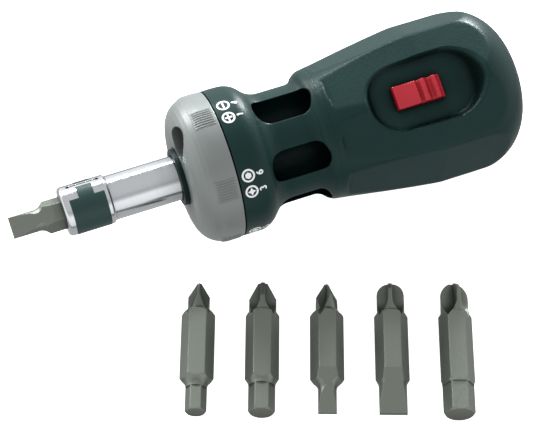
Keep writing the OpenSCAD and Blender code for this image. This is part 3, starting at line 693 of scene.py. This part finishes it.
def patch(outline, x, angle):
    """A filled flat shape: its outline over the print and below it, joined round the edge."""
    layers = [print_on_collar(outline, x, angle, height) for height in (FILLED_H, -PRINT_SINK)]
    edge = np.arange(len(outline))
    sides = hoop_faces(edge, len(edge)).tolist()
    return np.vstack(layers), [edge.tolist(), (edge + len(edge)).tolist(), *sides]


def bow(centre, radius, start_deg, end_deg, steps=BOW_STEPS):
    """Points on a circle from one angle to another."""
    a = np.radians(np.linspace(start_deg, end_deg, steps))
    return np.stack([centre[0] + radius * np.cos(a), centre[1] + radius * np.sin(a)], -1)


def line(*corners):
    """Close points along straight runs, so that corners stay sharp when they are drawn wide."""
    runs = [np.linspace(a, b, LINE_STEPS) for a, b in zip(corners[:-1], corners[1:])]
    return np.vstack([run[:-1] for run in runs[:-1]] + [runs[-1]])


def polygon(radii):
    """Corners at equal steps of angle, each at its own distance from the middle."""
    a = np.radians(360 / len(radii) * np.arange(len(radii)))
    return np.stack([radii * np.cos(a), radii * np.sin(a)], -1)


# %% [markdown]
# ### Digits and bit ends
# A digit is a few strokes in a field one unit high, with its foot at zero. A bit end is a ring
# with a bar for a slot, a plus for a cross, a star for the largest cross, or a filled hexagon.

# %% Digits and shapes of the bit ends
DIGITS = {
    1: [line((-0.12, 0.78), (0.08, 0.95), (0.08, 0.0))],
    2: [np.vstack([bow((0, 0.7), 0.25, 170, -35),
                   line((0.12, 0.45), (-0.27, 0.04), (0.28, 0.04))])],
    3: [bow((-0.02, 0.73), 0.22, 150, -80), bow((-0.02, 0.27), 0.25, 80, -150)],
    4: [line((0.12, 0.0), (0.12, 0.95), (-0.28, 0.28), (0.30, 0.28))],
    5: [line((0.22, 0.95), (-0.18, 0.95), (-0.2, 0.55)), bow((-0.02, 0.32), 0.27, 125, -150)],
    6: [bow((0, 0.28), 0.25, 0, 360), bow((0.45, 0.30), 0.70, 180, 110)],
}
DIGIT_X = 4.7
DIGIT_H = 1.45
DIGIT_MIDDLE = 0.475
DIGIT_LINE_W = 0.34
RING_X = 2.1
RING_R = 1.25
RING_STEPS = 48
BAR_REACH = RING_R - LINE_W / 2
CROSS_REACH = BAR_REACH * 0.8
FILLED = {
    "star": polygon(np.tile([0.95, 0.46], 4)),
    "hexagon": polygon(np.full(6, 0.74)),
}


def digit(size, s, angle):
    """The strokes of one digit, its middle at the given place."""
    spots = [(path - (0, DIGIT_MIDDLE)) * DIGIT_H + (s, 0) for path in DIGITS[size]]
    return [stroke(spot, DIGIT_X, angle, width=DIGIT_LINE_W) for spot in spots]


def bit_end(kind, s, angle):
    """A ring with a bar, a plus, a four-point star or a filled hexagon in it."""
    ring = bow((s, 0), RING_R, 0, 360 - 360 / RING_STEPS, RING_STEPS)
    shapes = [stroke(ring, RING_X, angle, closed=True)]
    if kind in ("slot", "cross"):
        shapes.append(stroke([(s - BAR_REACH, 0), (s, 0), (s + BAR_REACH, 0)], RING_X, angle))
    if kind == "cross":
        shapes.append(stroke([(s, -CROSS_REACH), (s, 0), (s, CROSS_REACH)], RING_X, angle))
    if kind in FILLED:
        shapes.append(patch(FILLED[kind] + (s, 0), RING_X, angle))
    return shapes


# %% Signs for the six channels
SIGN_STEP = 1.85
SIGNS = [
    [("slot", 4), ("cross", 1)],
    [("slot", 5), ("cross", 2)],
    [("slot", 6), ("cross", 2)],
    [("hexagon", 4), ("cross", 1)],
    [("hexagon", 5), ("cross", 2)],
    [("hexagon", 6), ("star", 3)],
]
# Its third colour is the colour of the painted shade.
white_ink = moulded_abs(
    "white_pad_print", ("#e3e8e8", "#eef1f1", "#d8dddd"),
    roughness=0.5, grain=(0.6, 0.003), gloss=0.4, edge_mm=0.05)
film = []
for angle, sign in zip(WINDOWS, SIGNS):
    for (kind, size), s in zip(sign, (SIGN_STEP, -SIGN_STEP)):
        film += bit_end(kind, s, angle) + digit(size, s, angle)
make_piece("collar_signs", *join(film), white_ink, "handle", sharp_deg=60)

# %% [markdown]
# ## The switch
# The thumb pushes the switch along the grip. Its top has a shallow dish and two ribs, all in soft
# waves from the mould. The outline of the top is a formula along the switch, and the same cross
# section with rounded upper edges runs along it.

# %% Switch top
SWITCH_HALF_L = 5.5
SWITCH_HALF_W = 2.6
SWITCH_FOOT = 13.65
SWITCH_ROWS = 161
PAD_TOP = 15.5
PAD_STEP_L = 0.5
DISH_DEPTH = 0.4
DISH_MIDDLE = -2.85
DISH_HALF_L = 2.65
VALLEY_TOP = 14.8
RIB_H = 0.95
RIB_PITCH = 2.6
RIBS_FROM = 0.15
EDGE_R = 0.4
EDGE_STEPS = 6
STEM_HALF = (1.2, 1.3)
STEM_Z = (11.2, 14.2)


def switch_top(u):
    """Height along the switch: a parabola's dish, a smooth step down, cosine ribs, round ends."""
    dish = DISH_DEPTH * np.clip(1 - ((u - DISH_MIDDLE) / DISH_HALF_L) ** 2, 0, 1)
    step = ramp(RIBS_FROM - u, 0, PAD_STEP_L)
    pad = VALLEY_TOP + (PAD_TOP - dish - VALLEY_TOP) * step
    ribs = VALLEY_TOP + RIB_H / 2 * (1 - np.cos(2 * np.pi * (u - RIBS_FROM) / RIB_PITCH))
    into_end = np.clip(np.abs(u) - SWITCH_HALF_L + EDGE_R, 0, EDGE_R)
    return np.where(u < RIBS_FROM, pad, ribs) - EDGE_R + np.sqrt(EDGE_R ** 2 - into_end ** 2)


def box_shape(x_range, y_range, z_range):
    """The eight corners and six faces of a box."""
    corners = np.array([(x, y, z) for x in x_range for y in y_range for z in z_range])
    faces = [[0, 1, 3, 2], [4, 6, 7, 5], [0, 4, 5, 1], [2, 3, 7, 6], [0, 2, 6, 4], [1, 5, 7, 3]]
    return lay(*corners.T), faces


u = np.linspace(-SWITCH_HALF_L, SWITCH_HALF_L, SWITCH_ROWS)
edge_turn = np.radians(np.linspace(0, 90, EDGE_STEPS))
side_y = np.r_[SWITCH_HALF_W, SWITCH_HALF_W - EDGE_R + EDGE_R * np.cos(edge_turn)]
drop = np.r_[np.inf, EDGE_R - EDGE_R * np.sin(edge_turn)]
section_y = np.r_[side_y, -side_y[::-1]]
section_drop = np.r_[drop, drop[::-1]]
section_z = np.maximum(switch_top(u)[:, None] - section_drop, SWITCH_FOOT)
pad_points = lay(SWITCH_X + u[:, None], section_y, section_z).reshape(-1, 3)
around = len(section_y)
ends = [list(range(around)), list(range((SWITCH_ROWS - 1) * around, SWITCH_ROWS * around))]
pad_shape = (pad_points, grid_faces(SWITCH_ROWS, around, wrap=True).tolist() + ends)
stem_x = (SWITCH_X - STEM_HALF[0], SWITCH_X + STEM_HALF[0])
stem_shape = box_shape(stem_x, (-STEM_HALF[1], STEM_HALF[1]), STEM_Z)
switch_shape = join([pad_shape, stem_shape])
switch = make_piece("switch_top", *switch_shape, red_abs, "selector", sharp_deg=50)
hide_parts("selector_switch")

# %% [markdown]
# ## Table top and light
# Product pictures like this are cut out and set on pure white, while the table they were taken on
# was a middle grey. So the white top is there for the eye and for shadows only, and in reflections
# the lowest part of the room stands in for the grey table. The room is a light tent with bright
# walls and a grey roof. Polished chrome mirrors it as two pale bands with grey between, and the
# dark edge of the table as a thin dark line. The strip behind gives the upper flats their sheen,
# the left panel gives the cap its own, and the small lamp behind on the right sets the bright
# spots on the butt and on the near rims.

# %% Table top
TABLE_HALF = 3.0
TABLE_GLOW = 1.0
table_mesh = bpy.data.meshes.new("table_top")
corners = [(-TABLE_HALF, -TABLE_HALF, 0), (TABLE_HALF, -TABLE_HALF, 0),
           (TABLE_HALF, TABLE_HALF, 0), (-TABLE_HALF, TABLE_HALF, 0)]
table_mesh.from_pydata(corners, [], [(0, 1, 2, 3)])
table = bpy.data.objects.new("table_top", table_mesh)
bpy.context.scene.collection.objects.link(table)
table.visible_glossy = False
table.visible_diffuse = False
white_acrylic, acrylic_tree = start("glowing_white_acrylic")[:2]
close(acrylic_tree, add(acrylic_tree, "ShaderNodeBsdfPrincipled", {
    "Base Color": linear("#e6e8e8"), "Roughness": 0.9, "Specular IOR Level": 0.2,
    "Emission Color": linear("#ffffff"), "Emission Strength": TABLE_GLOW}))
table_mesh.materials.append(white_acrylic)
print("table top:", white_acrylic.name)

# %% Lights
DAYLIGHT = (0.93, 0.98, 1.0)


def panel(name, place, aim, size, radiance):
    """A flat light from its place to the aim: power = brightness times area times pi."""
    data = bpy.data.lights.new(name, "AREA")
    data.shape = "RECTANGLE"
    data.size, data.size_y = size
    data.color = DAYLIGHT
    data.energy = radiance * size[0] * size[1] * math.pi
    lamp = bpy.data.objects.new(name, data)
    bpy.context.scene.collection.objects.link(lamp)
    lamp.location = place
    lamp.rotation_euler = (Vector(aim) - Vector(place)).to_track_quat("-Z", "Y").to_euler()
    print(name, "power:", round(data.energy, 2), "W")


panel("back_strip", place=(-0.08, 0.80, 0.52), aim=(0, 0, 0.03), size=(0.25, 0.08), radiance=90)
panel("left_panel", place=(-0.42, 0.70, 0.28), aim=(-0.02, 0, 0), size=(0.3, 0.3), radiance=17.0)
panel("small_lamp", place=(0.50, 0.64, 0.20), aim=(0, 0, 0.02), size=(0.10, 0.10), radiance=330)

# %% [markdown]
# ### The room
# The room only changes with height, so its light is a list: the sine of the angle over the
# horizon, and the brightness there. A colour ramp blends from one entry to the next.

# %% Room
ROOM_BANDS = {
    -1.0: 0.60, -0.54: 0.60, -0.47: 0.25, -0.41: 0.25, -0.34: 1.0, 0.0: 1.25,
    0.42: 1.35, 0.60: 0.75, 0.72: 0.58, 0.85: 0.74, 1.0: 0.78,
}
room = bpy.data.worlds.new("light_tent")
bpy.context.scene.world = room
room.use_nodes = True
room_tree = room.node_tree
direction = add(room_tree, "ShaderNodeTexCoord", {}).outputs["Generated"]
height = add(room_tree, "ShaderNodeSeparateXYZ", {"Vector": direction})
rise = add(room_tree, "ShaderNodeMapRange", {
    "Value": height.outputs["Z"], "From Min": -1.0, "From Max": 1.0})
bands = add(room_tree, "ShaderNodeValToRGB", {"Fac": rise.outputs["Result"]})
steps = bands.color_ramp.elements
for height_z in list(ROOM_BANDS)[1:-1]:
    steps.new((height_z + 1) / 2)
for step, tone in zip(steps, ROOM_BANDS.values()):
    step.color = (tone, tone, tone, 1)
room_tree.links.new(bands.outputs["Color"], room_tree.nodes["Background"].inputs["Color"])
bpy.context.scene.view_settings.view_transform = "Standard"
print("room bands:", len(steps))
